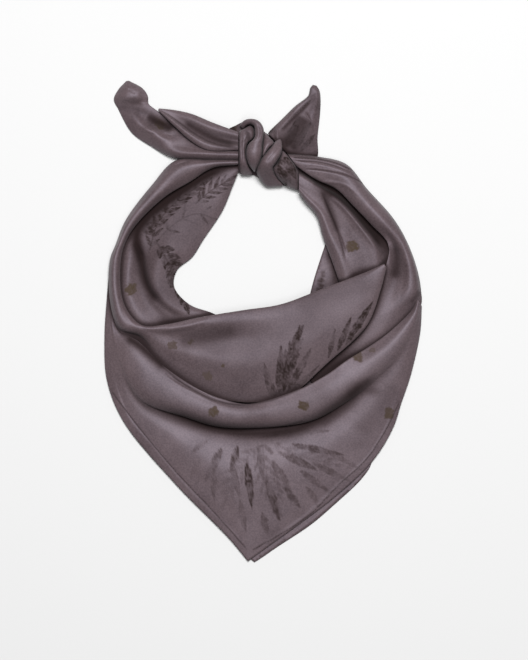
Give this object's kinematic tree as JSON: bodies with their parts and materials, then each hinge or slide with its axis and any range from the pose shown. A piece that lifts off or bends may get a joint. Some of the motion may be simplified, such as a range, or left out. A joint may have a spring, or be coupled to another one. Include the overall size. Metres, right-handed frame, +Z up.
{
  "type": "tied silk neckerchief",
  "caption": "Square silk scarf folded on the diagonal and tied in a small knot, lying flat with its cowl folds, point and two tails.",
  "frame": {"origin": "middle of the outline on the surface that the scarf lies on", "axes": "+X across the scarf, +Y from its point up to the knot, +Z up off the surface"},
  "size_m": [0.2381, 0.3609, 0.0245],
  "materials": {
    "silk": "satin"
  },
  "bodies": {
    "root": {"under_leaf": "silk", "front_leaf": "silk", "collar_roll": "silk", "left_inner_band": "silk", "right_inner_band": "silk", "right_outer_band": "silk", "left_tail": "silk", "left_tail_flap": "silk", "right_tail": "silk", "knot_core": "silk", "knot_left_roll": "silk", "knot_loop": "silk", "knot_back_fold": "silk", "knot_front_wrap": "silk", "knot_print_fold": "silk"}
  },
  "joints": []
}
